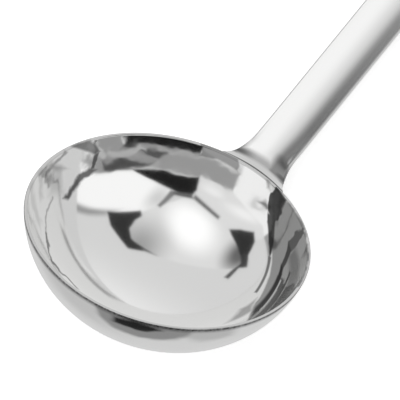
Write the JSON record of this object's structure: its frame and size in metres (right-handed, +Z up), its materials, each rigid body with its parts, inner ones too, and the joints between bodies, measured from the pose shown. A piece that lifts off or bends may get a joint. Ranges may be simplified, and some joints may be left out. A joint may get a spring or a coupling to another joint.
{
  "type": "serving ladle",
  "caption": "Stainless steel serving ladle: a round deep bowl with a plain rim, and a flat strap handle that leaves the rim with flared sides and rises straight to a rounded end.",
  "frame": {"origin": "on the surface the ladle lies on, below the middle of its bounding box", "axes": "+X from the bowl along the handle, +Z up, the plane of symmetry is XZ"},
  "size_m": [0.3126, 0.09, 0.0635],
  "materials": {
    "steel": "polished stainless steel, satin on the handle"
  },
  "bodies": {
    "root": {"ladle": "steel"}
  },
  "joints": []
}
